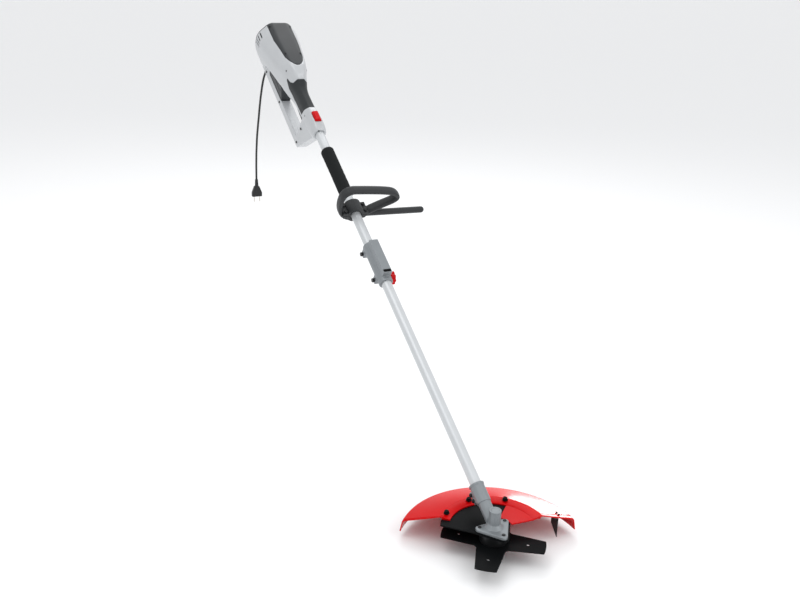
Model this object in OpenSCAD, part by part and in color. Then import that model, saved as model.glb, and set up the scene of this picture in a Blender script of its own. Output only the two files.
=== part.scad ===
// Corded electric string trimmer with a four-tooth blade fitted.
// Origin: shaft axis at the middle of the rear grip. +X points to the cutting head,
// +Y to the operator's left and +Z up. The shaft runs down towards the head.

/* [Shaft] */
// Lean of the shaft above level ground
shaft_angle = 34; // [28:1:42]
// Distance along the shaft from the grip to the blade axis
shaft_reach = 1365; // [1130:5:1640]
// Outer diameter of both shaft tubes
tube_od = 26; // [21:0.5:32]
// Wall of both shaft tubes
tube_wall = 1.5; // [1.2:0.1:2]
// Diameter of the drive shafts inside the tubes
drive_d = 8; // [7:0.5:10]
// Length of the foam sleeve on the upper tube
foam_len = 171; // [150:5:225]

/* [Motor unit] */
// Diameter of the motor's field pack
motor_d = 80; // [66:1:96]
// Wall of the housing shells
shell_t = 2.4; // [2:0.1:3]
// Thickness of the top cover and of the rubber grip skin
skin_t = 2; // [1.5:0.1:2.4]
// Width of the rear handle's lower bar
bar_w = 32; // [24:1:34]

/* [Front handle] */
// Distance from the grip to the front handle
handle_x = 441; // [425:5:500]
// Reach of the barrier bar to the operator's left
barrier_reach = 219; // [180:1:260]
// Thickness of the loop handle's band
band_d = 19; // [16:1:22]

/* [Coupler] */
// Start of the coupler along the shaft
coupler_x = 567; // [545:5:680]
// Length of the coupler
coupler_len = 126; // [120:1:160]
// Diameter of the clamping knob
knob_d = 36; // [30:1:42]

/* [Cutting head] */
// Diameter of the blade
blade_d = 230; // [190:1:276]
// Thickness of the blade
blade_t = 1.8; // [1.4:0.1:2.2]
// Outer radius of the guard's skirt
guard_r = 212; // [176:1:254]
// Height of the blade below the point where the axes meet
blade_drop = 37; // [36:0.5:44]

/* [Hidden] */
$fn = 48;

fit_gap = 0.05;
free_gap = 0.3;
tube_r = tube_od / 2;
tube_in = tube_r - tube_wall;
drive_r = drive_d / 2;
square_end = drive_d * 0.6;

// Motor unit, along the shaft from the grip's middle
rear_x = -287;
front_x = 151;
motor_r = motor_d / 2;
body_w = motor_r + 24;
body_top = motor_r + 11;
grip_w = tube_r + 6;
grip_top = tube_r + 7;
grip_low = -tube_r - 28;
bar_top = -107;
bar_low = -131;
bar_rear = -305;
bar_front = 75;
opening_front = 43;
opening_rear = -235;
field_x = -230;
field_len = 50;
fan_x = -166;
rear_bearing_x = -272;
front_bearing_x = -138;
bearing_len = 9;
bearing_r = 13;
shaft_r = 5;
tube_start = -62;
cover_rear_w = 37;
cover_front_w = 28;
cover_front = -87;

// Rows of the housing: place, top, its half width, upper shoulder, its half width,
// lower shoulder, its half width, bottom, its half width
housing_rows = [
  [rear_x, body_top - 4, 27, 8, body_w - 4, -40, body_w - 6, -104, 24],
  [rear_x + 6, body_top, 31, 11, body_w, -40, body_w - 3, -108, 27],
  [rear_x + 20, body_top + 0.5, 31, 12, body_w + 1, -42, body_w - 6, -107, 28],
  [opening_rear, body_top + 1, 31, 12, body_w, -50, body_w - 12, -74, 34],
  [-195, body_top + 2, 31, 13, body_w - 5, -46, body_w - 18, -62, 32],
  [-145, body_top + 2.5, 29, 16, body_w - 14, -42, body_w - 27, -56, 28],
  [-92, body_top + 2, 23, 18, body_w - 26, -38, body_w - 36, -51, 22],
  [-72, body_top - 2, 17, 16, body_w - 32.5, -39, body_w - 41, -51, 18],
  [-56, grip_top + 22, 13, 12, grip_w + 9, -35, grip_w + 3, -48, 16],
  [-42, grip_top + 9, 11, 9, grip_w + 5.5, -31, grip_w + 1, -46, 14],
  [-25, grip_top + 2, 10, 6, grip_w + 2, -25, grip_w - 0.5, grip_low - 2, 13],
  [0, grip_top, 9, 5, grip_w, -21, grip_w - 1, grip_low, 11],
  [45, grip_top + 1, 9, 6, grip_w, -20, grip_w - 1, grip_low + 2, 11],
  [80, grip_top + 5, 11, 8, grip_w + 2, -16, grip_w + 1, grip_low + 7, 12],
  [118, grip_top + 6, 13, 10, grip_w + 3, -12, grip_w + 2, grip_low + 12, 14],
  [142, grip_top + 2, 12, 9, grip_w + 2, -9, grip_w + 2, -tube_r - 9, 13],
  [front_x, grip_top - 2, 9, 6, grip_w, -7, grip_w, -tube_r - 6, 9]];

// Trigger and lock-off button
pivot_x = 38;
pivot_z = grip_low + 8;
trigger_w = 15;
trigger_top = grip_low + 4;
pin_r = 2;
button_x = 86;
button_len = 37;
button_w = 18;
button_low = tube_r + 5.5;
button_top = grip_top + 12;

// Front handle, as seen along the shaft: left, up
hub_len = 38;
liner_r = tube_r + 2.5;
hub_r = liner_r + 9;
ear_y = hub_r + 4;
loop_points = [[0, -hub_r], [-27, -14], [-42, 8], [-47, 38], [-44, 64], [-28, 78], [0, 77],
  [35, 73], [70, 68], [100, 60], [116, 44], [106, 30], [75, 14], [41, -6], [24, -hub_r]];

// Coupler
coupler_end = coupler_x + coupler_len;
coupler_r = tube_r + 5.5;
tube_joint = coupler_x + 70;
hood_x = coupler_x + 6;
hood_len = 109;
hood_w = 24;
hood_top = tube_r + 20;
ear_z = -coupler_r + 0.5;
ear_stations = [coupler_x + 11, coupler_end - 28];
bolt_r = 3;
release_x = coupler_x + 109;

// Bevel gears: both cones meet where the shaft and blade axes cross
gear_teeth = 16;
pinion_teeth = 12;
gear_pitch_r = 15;
axes_angle = 90 + shaft_angle;
pinion_cone = atan2(sin(axes_angle), gear_teeth / pinion_teeth + cos(axes_angle));
gear_cone = axes_angle - pinion_cone;
cone_len = gear_pitch_r / sin(gear_cone);
tooth_up = 1.2;
tooth_down = 1.6;
inner_scale = 0.62;
head_x = shaft_reach * cos(shaft_angle);
head_z = -shaft_reach * sin(shaft_angle);
sleeve_top = shaft_reach - 97;
pinion_bearing_x = shaft_reach - 31;
lower_tube_end = shaft_reach - 58;
neck_r = 14.6;
boss_r = 13.5;
boss_top = 38;
flange_low = -10;
plate_t = 3;
nose_r = 15;
nose_low = -24;
flange_corners = [[38, 0], [-8, -32], [-8, 32]];
flange_corner_r = 9;
flange_t = 7;
spindle_r = 5;
spindle_bearing_r = 12;
cup_r = 31;
blade_top = -blade_drop + blade_t / 2;
blade_low = blade_top - blade_t;
blade_bore_r = 12.7;
blade_phase = 49.8;

// Guard and its base, around the blade axis
plate_r = 117;
guard_in = 98;
ridge_r = 119;
ridge_z = -3;
shoulder_r = guard_r - 7;
shoulder_z = -30;
skirt_z = -60;
guard_t = 2.6;
guard_start = 86;
guard_span = 141.5;
knob_angles = [135, 179, 219];
knob_ring_r = 111;
cutter_y = shoulder_r - 40;

// Cord: its route behind and below the motor unit, as x and z at y = 0
cord_d = 6.8;
cord_route = [[-338, 40], [-350, 29.5], [-361, 17], [-371, 2], [-380, -14], [-388, -31],
  [-396, -48], [-403, -66], [-410, -84], [-416, -102], [-422, -120], [-429, -138],
  [-435, -156], [-441, -174], [-446, -192], [-450, -211], [-454, -230], [-457, -249],
  [-459, -268], [-461, -287], [-462, -306], [-463, -325], [-463, -336]];
cord_end = cord_route[len(cord_route) - 1];
gland_len = 26;
gland_turn = atan2(cord_route[0][0] - cord_route[1][0], cord_route[0][1] - cord_route[1][1]);
plug_h = 60;
pin_spacing = 19;
plug_pin_r = 2.4;
plug_pin_len = 19;
pin_neck_r = 1.8;

// ---------- Shared shapes ----------

// Puts children in the frame of the shaft: x along it, z square to it
module on_shaft() { rotate([0, shaft_angle, 0]) children(); }

// Puts children where the shaft axis and the blade axis cross
module on_head() { translate([head_x, 0, head_z]) children(); }

// Round bar along the shaft
module bar_x(x0, x1, r) { translate([x0, 0, 0]) rotate([0, 90, 0]) cylinder(h = x1 - x0, r = r); }

// Round sleeve along the shaft
module sleeve_x(x0, x1, r, bore) {
  difference() {
    bar_x(x0, x1, r);
    bar_x(x0 - 1, x1 + 1, bore);
  }
}

// Round bar across the shaft, from y0 to y1
module bar_y(x, z, y0, y1, r) { translate([x, y0, z]) rotate([-90, 0, 0]) cylinder(h = y1 - y0, r = r); }

// Block from one corner to the other
module block(low, high) { translate(low) cube(high - low); }

// Plate with its outline in the shaft's side view, from y0 to y1
module side_plate(points, y0, y1) {
  translate([0, y1, 0]) rotate([90, 0, 0]) linear_extrude(y1 - y0) polygon(points);
}

// Solid from rings of equal count, one after another
module skin(rings) {
  n = len(rings[0]);
  m = len(rings);
  sides = [for (i = [0:m - 2], j = [0:n - 1], k = [0:1])
    let (a = i * n + j, b = i * n + (j + 1) % n, c = (i + 1) * n + (j + 1) % n, d = (i + 1) * n + j)
    k == 0 ? [a, b, c] : [a, c, d]];
  ends = [[for (j = [n - 1:-1:0]) j], [for (j = [0:n - 1]) (m - 1) * n + j]];
  polyhedron([for (r = rings, p = r) p], concat(sides, ends), 10);
}

// Three points that round corner b between its neighbours a and c
function rounded(a, b, c) =
  let (p = b + 0.3 * (a - b), q = b + 0.3 * (c - b)) [p, 0.25 * p + 0.5 * b + 0.25 * q, q];

// Section of the housing with rounded corners, shrunk by inset: right half, then left half
function housing_ring(row, x, inset) =
  let (top = [0, row[1] - inset], a = [row[2] - 0.4 * inset, row[1] - inset],
    b = [row[4] - inset, row[3]], c = [row[6] - inset, row[5]],
    d = [row[8] - 0.4 * inset, row[7] + inset], low = [0, row[7] + inset],
    half = concat([top], rounded(top, a, b), rounded(a, b, c), rounded(b, c, d), rounded(c, d, low)),
    count = len(half))
  concat([for (p = half) [x, p[0], p[1]]], [[x, 0, low[1]]],
    [for (i = [count - 1:-1:1]) [x, -half[i][0], half[i][1]]]);

module housing_form(inset) {
  last = len(housing_rows) - 1;
  for (i = [0:last - 1])
    hull() skin([for (k = [i, i + 1])
      let (row = housing_rows[k], shift = k == 0 ? inset : (k == last ? -inset : 0))
      housing_ring(row, row[0] + shift, inset)]);
}

// Outline of the rear handle under the housing, shrunk by inset
function handle_outline(inset) = [[front_x - 4 - inset, -12], [bar_front - 1.3 * inset, -118],
  [bar_front - 9 - inset, bar_low + inset], [bar_rear + 7, bar_low + inset],
  [bar_rear + inset, bar_low + 6], [bar_rear + inset, -100], [rear_x + 6 + inset, -50],
  [opening_rear - inset, -50], [opening_rear - inset, bar_top - inset],
  [opening_front + inset, bar_top - inset], [opening_front + 9 + inset, -25],
  [front_x - 40, -12]];

// Area under the top cover, grown by gap
module cover_area(gap) {
  translate([0, 0, 12 - gap]) linear_extrude(90) polygon([
    [rear_x - 1, -cover_rear_w - gap], [rear_x + 80, -cover_rear_w - gap],
    [cover_front - 38, -cover_front_w - gap], [cover_front - 18, -21 - gap],
    [cover_front - 5, -12 - gap], [cover_front + gap, -4], [cover_front + gap, 4],
    [cover_front - 5, 12 + gap], [cover_front - 18, 21 + gap],
    [cover_front - 38, cover_front_w + gap], [rear_x + 80, cover_rear_w + gap],
    [rear_x - 1, cover_rear_w + gap]]);
}

// Area of the rubber grip skin, grown by gap
module grip_area(gap) {
  side_plate([[-46 - gap, 60], [-48 - gap, 18 + gap], [-58 - gap, 12 + gap], [-76 - gap, 12 + gap],
    [-74 - gap, 4], [-58, -12 - gap], [-20, -22 - gap], [48 + gap, -20 - gap], [48 + gap, 60]],
    -60, 60);
}

// Room inside the housing, less the plates that hold what is in it
module housing_room() {
  difference() {
    union() {
      housing_form(shell_t + skin_t + free_gap);
      side_plate(handle_outline(shell_t), -bar_w / 2 + shell_t, bar_w / 2 - shell_t);
    }
    for (x = [rear_bearing_x - 1, field_x + 6, field_x + field_len - 10,
      front_bearing_x + 1, tube_start + 4, 58, 130])
      block([x, -100, -100], [x + 5, 100, 100]);
    bar_y(pivot_x, pivot_z, -30, 30, 5);
  }
}

module housing_shape() {
  difference() {
    union() {
      difference() {
        housing_form(0);
        difference() {
          union() {
            cover_area(free_gap);
            grip_area(free_gap);
          }
          housing_form(skin_t + free_gap);
        }
      }
      side_plate(handle_outline(0), -bar_w / 2, bar_w / 2);
    }
    housing_room();
    bar_x(rear_bearing_x - 20, tube_start + 1, shaft_r + 4);
    bar_x(rear_bearing_x, rear_bearing_x + bearing_len, bearing_r + fit_gap);
    bar_x(front_bearing_x, front_bearing_x + bearing_len, bearing_r + fit_gap);
    bar_x(field_x - 4, field_x + field_len + 4, motor_r + free_gap);
    bar_x(tube_start, front_x + 5, tube_r + fit_gap);
    block([-42, -trigger_w / 2 - 0.5, grip_low - 20], [pivot_x + 9, trigger_w / 2 + 0.5, -tube_r - 14]);
    bar_y(pivot_x, pivot_z, -30, 30, pin_r + fit_gap);
    block([button_x - free_gap, -button_w / 2 - free_gap, tube_r + 0.2],
      [button_x + button_len + free_gap, button_w / 2 + free_gap, 60]);
    for (side = [-1, 1], i = [0:3])
      block([rear_x + 9, side * (body_w - 6) - 14, -16 + 11 * i],
        [rear_x + 34, side * (body_w - 6) + 14, -12 + 11 * i]);
    rotate([0, -shaft_angle, 0]) gland_form(fit_gap);
    vent_area(free_gap / 2);
    cover_screw_places() cylinder(h = 30, r = 1.6, center = true);
  }
}

// Vent insert between the motor's underside and the handle's bar
module vent_area(gap) {
  intersection() {
    side_plate([[opening_rear - 3 - gap, bar_top - 3 - gap], [-113 + gap, bar_top - 3 - gap],
      [-106 + gap, -48 + gap], [opening_rear - 3 - gap, -64 + gap]], -30, 30);
    translate([opening_rear - 10, 0, 0]) rotate([90, 0, 90]) linear_extrude(200)
      polygon([[-29 - gap, -44], [-13 - gap, bar_top - 4], [13 + gap, bar_top - 4], [29 + gap, -44]]);
  }
}

// Cone and collar of the strain relief, placed on the cord's first point
module gland_form(gap) {
  translate([cord_route[0][0], 0, cord_route[0][1]]) rotate([0, gland_turn, 0]) {
    cylinder(h = gland_len + 8, r1 = cord_d / 2 + 1 + gap, r2 = cord_d / 2 + 3 + gap);
    translate([0, 0, gland_len]) cylinder(h = 4, r = cord_d / 2 + 5 + gap);
  }
}

// ---------- Motor unit ----------

module housing_left() {
  color("silver") on_shaft() intersection() {
    housing_shape();
    block([-400, 0, -200], [400, 200, 200]);
  }
}

module housing_right() {
  color("silver") on_shaft() intersection() {
    housing_shape();
    block([-400, -200, -200], [400, 0, 200]);
  }
}

module top_cover() {
  color("dimgray") on_shaft() difference() {
    intersection() {
      housing_form(0);
      cover_area(0);
    }
    housing_form(skin_t);
    cover_screw_places() cylinder(h = 40, r = 1.6, center = true);
  }
}

module grip_overmold() {
  color([0.25, 0.27, 0.28]) on_shaft() difference() {
    intersection() {
      housing_form(0);
      grip_area(0);
    }
    housing_form(skin_t);
  }
}

module vent_grille() {
  color([0.3, 0.31, 0.32]) on_shaft() difference() {
    vent_area(0);
    for (side = [-1, 1], i = [0:8])
      translate([opening_rear + 13 * i + 6, side * 26, -84]) rotate([0, 20, 0])
        cube([6, 15, 40], center = true);
  }
}

module cord_retainer() {
  color([0.25, 0.27, 0.28]) on_shaft()
    side_plate([[bar_rear + 20, bar_low - 5], [bar_rear + 24, bar_low - fit_gap],
      [-172, bar_low - fit_gap], [-172, bar_low - 4]], -5, 5);
}

// Screws that close the housing, from its right side
module housing_screws() {
  color([0.15, 0.15, 0.16]) on_shaft()
    for (p = [[62, -60], [56, -119], [-120, -119], [-260, -119]])
      translate([0, -bar_w / 2, 0]) {
        bar_y(p[0], p[1], -2, -fit_gap, 3.6);
      }
}

// Places of the four cover screws, each square to the cover's side
module cover_screw_places() {
  for (side = [-1, 1], x = [rear_x + 40, cover_front - 45])
    translate([x, side * (cover_front_w - 5), body_top - 6]) rotate([-side * 38, 0, 0]) children();
}

module cover_screws() {
  color([0.12, 0.12, 0.13]) on_shaft() cover_screw_places() cylinder(h = 14, r = 1.5, center = true);
}

module trigger() {
  color([0.2, 0.21, 0.22]) on_shaft() difference() {
    side_plate([[pivot_x + 6, pivot_z + 4], [pivot_x + 6, grip_low - 2], [pivot_x - 3, grip_low - 10],
      [16, grip_low - 9], [-10, grip_low - 6], [-32, grip_low - 4], [-36, grip_low], [-36, trigger_top],
      [pivot_x - 9, trigger_top], [pivot_x - 5, pivot_z + 4]], -trigger_w / 2, trigger_w / 2);
    bar_y(pivot_x, pivot_z, -10, 10, pin_r + fit_gap);
    bar_y(pivot_x, pivot_z, -3, 3, 5);
  }
}

module trigger_pin() {
  color("silver") on_shaft() bar_y(pivot_x, pivot_z, -grip_w + 4, grip_w - 4, pin_r);
}

// Torsion spring wound on the trigger's pin
module trigger_spring() {
  color("gainsboro") on_shaft() for (i = [-2:2])
    translate([pivot_x, 1.1 * i, pivot_z]) rotate([90, 0, 0]) rotate_extrude()
      translate([3.4, 0]) circle(r = 0.45, $fn = 16);
}

module switch() {
  color([0.1, 0.1, 0.1]) on_shaft() difference() {
    block([-30, -7, -tube_r - 17], [2, 7, -tube_r - 1]);
    block([-16.4, -2.9, -tube_r - 18], [-9.6, 2.9, -tube_r - 8]);
  }
}

module switch_plunger() {
  color("ivory") on_shaft() block([-16, -2.5, trigger_top + 0.4], [-10, 2.5, -tube_r - 14]);
}

module lock_button() {
  color("firebrick") on_shaft() difference() {
    union() {
      block([button_x, -button_w / 2, button_low], [button_x + button_len, button_w / 2, button_top - 3]);
      block([button_x + 2, -button_w / 2 + 2, button_low],
        [button_x + button_len - 2, button_w / 2 - 2, button_top]);
    }
    block([button_x + 3, -button_w / 2 + 3, button_low - 1],
      [button_x + button_len - 3, button_w / 2 - 3, button_top - 4]);
  }
}

// Bowed leaf under the lock-off button
module lock_spring() {
  color("gainsboro") on_shaft() side_plate([[button_x + 5, tube_r + 0.2], [button_x + 18, tube_r + 8],
    [button_x + 31, tube_r + 0.2], [button_x + 31.8, tube_r + 0.5], [button_x + 18, tube_r + 8.6],
    [button_x + 4.2, tube_r + 0.5]], -3, 3);
}

module field_pack() {
  color([0.4, 0.4, 0.42]) on_shaft() difference() {
    bar_x(field_x, field_x + field_len, motor_r);
    bar_x(field_x - 1, field_x + field_len + 1, motor_r * 0.6);
    for (side = [-1, 1])
      block([field_x - 1, -13, side * (motor_r - 10) - 4], [field_x + 60, 13, side * (motor_r - 10) + 4]);
  }
}

module field_coils() {
  color([0.72, 0.4, 0.2]) on_shaft() for (side = [-1, 1])
    block([field_x - 8, -12.5, side * (motor_r - 10) - 3.5],
      [field_x + field_len + 8, 12.5, side * (motor_r - 10) + 3.5]);
}

module armature() {
  color([0.6, 0.38, 0.24]) on_shaft() difference() {
    union() {
      bar_x(field_x + 1, field_x + field_len - 1, motor_r * 0.6 - 1);
      bar_x(field_x - 5, field_x + field_len + 5, motor_r * 0.45);
    }
    bar_x(field_x - 10, field_x + field_len + 10, shaft_r + fit_gap);
    for (i = [0:11])
      rotate([30 * i, 0, 0]) block([field_x, -1, motor_r * 0.6 - 4], [field_x + field_len, 1, motor_r]);
  }
}

module rotor_shaft() {
  color("lightgray") on_shaft() bar_x(rear_bearing_x - 1, front_bearing_x + 28, shaft_r);
}

module commutator() {
  color([0.75, 0.45, 0.25]) on_shaft() sleeve_x(rear_bearing_x + 14, field_x - 9, 11, shaft_r + fit_gap);
}

// The two brush holders stand on the housing's inner walls beside the commutator
module brush_holders() {
  color([0.65, 0.55, 0.3]) on_shaft() for (side = [-1, 1]) difference() {
    block([rear_bearing_x + 16, side * 25 - 12, -6], [field_x - 11, side * 25 + 12, 6]);
    block([rear_bearing_x + 18, side * 25 - 13, -4], [field_x - 13, side * 25 + 13, 4]);
  }
}

module carbon_brushes() {
  color([0.15, 0.15, 0.15]) on_shaft() for (side = [-1, 1])
    block([rear_bearing_x + 18.3, side * 19 - 7.5, -3.7], [field_x - 13.3, side * 19 + 7.5, 3.7]);
}

module motor_fan() {
  color([0.2, 0.2, 0.22]) on_shaft() {
    sleeve_x(fan_x, fan_x + 16, 10, shaft_r + fit_gap);
    difference() {
      sleeve_x(fan_x + 13, fan_x + 16, motor_r - 4, shaft_r + fit_gap);
      bar_x(fan_x, fan_x + 13, motor_r);
    }
    for (i = [0:10])
      rotate([360 / 11 * i, 0, 0]) block([fan_x + 1, -1, 9.5], [fan_x + 14, 1, motor_r - 5]);
  }
}

module motor_bearings() {
  color("lightgray") on_shaft() {
    sleeve_x(rear_bearing_x, rear_bearing_x + bearing_len, bearing_r, shaft_r + fit_gap);
    sleeve_x(front_bearing_x, front_bearing_x + bearing_len, bearing_r, shaft_r + fit_gap);
  }
}

module drive_coupling() {
  color("gray") on_shaft() difference() {
    bar_x(front_bearing_x + 14, front_bearing_x + 48, 8.5);
    bar_x(front_bearing_x + 10, front_bearing_x + 28 + fit_gap, shaft_r + fit_gap);
    bar_x(front_bearing_x + 28, front_bearing_x + 50, drive_r + fit_gap);
  }
}

module upper_drive_shaft() {
  color("lightgray") on_shaft() {
    bar_x(front_bearing_x + 29, tube_joint - 4, drive_r);
    block([tube_joint - 6, -square_end / 2, -square_end / 2],
      [tube_joint + 14, square_end / 2, square_end / 2]);
  }
}

module bush(x) { sleeve_x(x, x + 14, tube_in - fit_gap, drive_r + fit_gap); }

module upper_bushes() {
  color([0.55, 0.5, 0.35]) on_shaft() for (i = [0:3])
    bush(tube_start + 4 + i * (tube_joint - tube_start - 30) / 3);
}

module upper_tube() {
  color("lightgray") on_shaft() sleeve_x(tube_start, tube_joint, tube_r, tube_in);
}

module foam_sleeve() {
  color([0.17, 0.18, 0.18]) on_shaft() sleeve_x(217, 217 + foam_len, tube_r + 5.8, tube_r + fit_gap);
}

// ---------- Front handle ----------

module handle_liner() {
  color([0.2, 0.2, 0.2]) on_shaft()
    sleeve_x(handle_x - hub_len / 2 + 2, handle_x + hub_len / 2 - 2, liner_r, tube_r + fit_gap);
}

// One point of a smooth closed curve through the loop's points
function loop_at(u) =
  let (n = len(loop_points), i = floor(u), f = u - i, a = loop_points[(i + n - 1) % n],
    b = loop_points[i % n], c = loop_points[(i + 1) % n], d = loop_points[(i + 2) % n])
  0.5 * (2 * b + (c - a) * f + (2 * a - 5 * b + 4 * c - d) * f * f + (3 * b - a - 3 * c + d) * f * f * f);

module loop_ring() {
  steps = len(loop_points) * 3;
  rings = [for (i = [0:steps])
    let (p = loop_at(i / 3), q = loop_at(i / 3 + 0.05), t = (q - p) / norm(q - p), out = [-t[1], t[0]])
    [for (j = [0:11])
      let (c = cos(30 * j + 15), d = sin(30 * j + 15), across = band_d * 0.36 * sign(c) * pow(abs(c), 0.7),
        along = band_d * 0.7 * sign(d) * pow(abs(d), 0.7))
      [along, p[0] + out[0] * across, p[1] + out[1] * across]]];
  for (i = [0:steps - 1]) hull() skin([rings[i], rings[i + 1]]);
}

// Half of the clamp round the liner, below or above the tube
module hub_half(z0, z1) {
  intersection() {
    difference() {
      union() {
        bar_x(-hub_len / 2, hub_len / 2, hub_r);
        block([-hub_len / 2, -ear_y - 7, -8], [hub_len / 2, ear_y + 7, 8]);
      }
      bar_x(-hub_len, hub_len, liner_r + free_gap);
      for (side = [-1, 1], x = [-11, 11])
        translate([x, side * ear_y, -30]) cylinder(h = 60, r = bolt_r + fit_gap);
    }
    block([-40, -60, z0], [40, 60, z1]);
  }
}

module loop_handle() {
  color([0.22, 0.23, 0.24]) on_shaft() translate([handle_x, 0, 0]) difference() {
    union() {
      loop_ring();
      hub_half(-60, -0.5);
    }
    bar_x(-hub_len, hub_len, liner_r + free_gap);
    block([-30, -ear_y - 8, -0.5], [30, ear_y + 8, 8 + free_gap]);
    for (side = [-1, 1], x = [-11, 11])
      translate([x, side * ear_y, -40]) cylinder(h = 60, r = bolt_r + fit_gap);
    barrier_form(fit_gap);
  }
}

module handle_clamp() {
  color([0.22, 0.23, 0.24]) on_shaft() translate([handle_x, 0, 0]) hub_half(0.5, 40);
}

module handle_bolts() {
  color([0.6, 0.6, 0.62]) on_shaft() translate([handle_x, 0, 0])
    for (side = [-1, 1], x = [-11, 11]) translate([x, side * ear_y, 0]) {
      translate([0, 0, -16]) cylinder(h = 24.2, r = bolt_r);
      translate([0, 0, 8 + fit_gap]) cylinder(h = 4, r = bolt_r + 1.8);
    }
}

// Bar of the barrier from the clamp to the operator's left
module barrier_form(gap) {
  translate([0, hub_r + 8, -15]) rotate([-90 - 3, 0, 0]) {
    cylinder(h = barrier_reach - hub_r - 16, r = 9 + gap);
    translate([0, 0, barrier_reach - hub_r - 16]) sphere(r = 9 + gap);
  }
}

module barrier_bar() {
  color([0.22, 0.23, 0.24]) on_shaft() translate([handle_x, 0, 0]) barrier_form(0);
}

// ---------- Coupler ----------

module coupler_body() {
  color([0.58, 0.6, 0.62]) on_shaft() difference() {
    union() {
      bar_x(coupler_x, coupler_end, coupler_r);
      block([hood_x, -hood_w / 2, 0], [hood_x + hood_len, hood_w / 2, hood_top]);
      for (x = ear_stations)
        block([x - 8, -coupler_r, ear_z - 8], [x + 8, coupler_r, 0]);
    }
    bar_x(coupler_x - 1, coupler_end + 1, tube_r + fit_gap);
    block([coupler_x - 1, -1, -60], [coupler_end + 1, 1, -tube_r + 2]);
    for (x = ear_stations) bar_y(x, ear_z, -30, 30, bolt_r + fit_gap);
    block([release_x - 3.2 - free_gap, -hood_w / 2 + 2 - free_gap, hood_top - 8],
      [release_x + 3.2 + free_gap, hood_w / 2 - 2 + free_gap, hood_top + 1]);
    translate([release_x, 0, 0]) cylinder(h = 60, r = bolt_r + free_gap);
  }
}

module coupler_bolts() {
  color([0.15, 0.15, 0.16]) on_shaft() for (x = ear_stations) {
    bar_y(x, ear_z, -coupler_r - 1, coupler_r + 14, bolt_r);
    bar_y(x, ear_z, -coupler_r - 6, -coupler_r - fit_gap, bolt_r + 2.5);
    if (x < coupler_end - 40) bar_y(x, ear_z, coupler_r + fit_gap, coupler_r + 6, bolt_r + 2.5);
  }
}

module coupler_knob() {
  color("firebrick") on_shaft() translate([ear_stations[1], coupler_r + 1, ear_z]) rotate([-90, 0, 0])
    difference() {
      union() {
        cylinder(h = 5, r = 9);
        translate([0, 0, 4]) cylinder(h = 13, r = knob_d / 2);
      }
      translate([0, 0, -1]) cylinder(h = 15, r = bolt_r + fit_gap);
      for (i = [0:7])
        rotate([0, 0, 45 * i]) translate([knob_d / 2 + 2.5, 0, 3]) cylinder(h = 15, r = 5);
    }
}

module release_button() {
  color([0.15, 0.15, 0.16]) on_shaft() translate([release_x, 0, 0]) {
    block([-3.2, -hood_w / 2 + 2, hood_top - 8 + free_gap], [3.2, hood_w / 2 - 2, hood_top + 1]);
    translate([0, 0, tube_r + free_gap]) cylinder(h = hood_top - tube_r - 4, r = bolt_r);
  }
}

// ---------- Lower shaft ----------

module lower_tube() {
  color("lightgray") on_shaft() sleeve_x(tube_joint + 2, lower_tube_end, tube_r, tube_in);
}

module lower_drive_shaft() {
  color("lightgray") on_shaft() difference() {
    union() {
      bar_x(tube_joint - 2, pinion_bearing_x - 18, drive_r);
      bar_x(tube_joint - 2, tube_joint + 24, drive_r + 2);
    }
    block([tube_joint - 3, -square_end / 2 - free_gap, -square_end / 2 - free_gap],
      [tube_joint + 18, square_end / 2 + free_gap, square_end / 2 + free_gap]);
  }
}

module lower_bushes() {
  color([0.55, 0.5, 0.35]) on_shaft() for (i = [0:3])
    bush(tube_joint + 30 + i * (lower_tube_end - tube_joint - 60) / 3);
}

// ---------- Gear head ----------

module gear_housing() {
  color([0.58, 0.6, 0.62]) difference() {
    union() {
      on_shaft() {
        bar_x(sleeve_top, lower_tube_end + 4, tube_r + 3.5);
        bar_x(lower_tube_end, shaft_reach - 1, neck_r);
        for (side = [-1, 1])
          block([sleeve_top + 4, side * 5 - 3.5, -tube_r - 15], [sleeve_top + 34, side * 5 + 3.5, -tube_r]);
      }
      on_head() {
        sphere(r = neck_r - 0.3);
        translate([0, 0, -8]) cylinder(h = boss_top + 8, r = boss_r);
        translate([0, 0, flange_low]) linear_extrude(flange_t) flange_outline(0);
        translate([0, 0, -4]) cylinder(h = 9, r1 = 21, r2 = neck_r - 1);
        translate([0, 0, nose_low]) cylinder(h = 20, r = nose_r);
      }
    }
    on_shaft() {
      bar_x(sleeve_top - 1, lower_tube_end + 0.5, tube_r + fit_gap);
      bar_x(lower_tube_end - 1, shaft_reach - 6, 12.2);
      block([sleeve_top - 1, -1.5, -40], [sleeve_top + 36, 1.5, -tube_r + 2]);
      for (x = [sleeve_top + 12, sleeve_top + 26])
        bar_y(x, -tube_r - 8, -30, 30, 2.5 + fit_gap);
    }
    on_head() {
      sphere(r = neck_r - 2.5);
      rotate_extrude() translate([nose_r, flange_low - 40]) square([60, 40]);
      translate([0, 0, flange_low + 2.4]) cylinder(h = 6.2, r = gear_pitch_r + 1.2);
      translate([0, 0, nose_low - 1]) cylinder(h = 20, r = spindle_bearing_r + fit_gap);
      flange_screw_places() translate([0, 0, -20]) cylinder(h = 30, r = 2 + fit_gap);
    }
  }
}

// Rounded triangle of the flange over the guard's base, grown by gap
module flange_outline(gap) {
  r = flange_corner_r + gap;
  for (p = flange_corners) translate(p) circle(r = r);
  n = len(flange_corners);
  polygon([for (i = [0:n - 1], k = [-1, 1])
    let (p = flange_corners[i], q = flange_corners[(i + n + k) % n], t = (q - p) / norm(q - p))
    p + r * (k < 0 ? [t[1], -t[0]] : [-t[1], t[0]])]);
}

module flange_screw_places() {
  for (p = flange_corners) translate([p[0], p[1], 0]) children();
}

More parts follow.
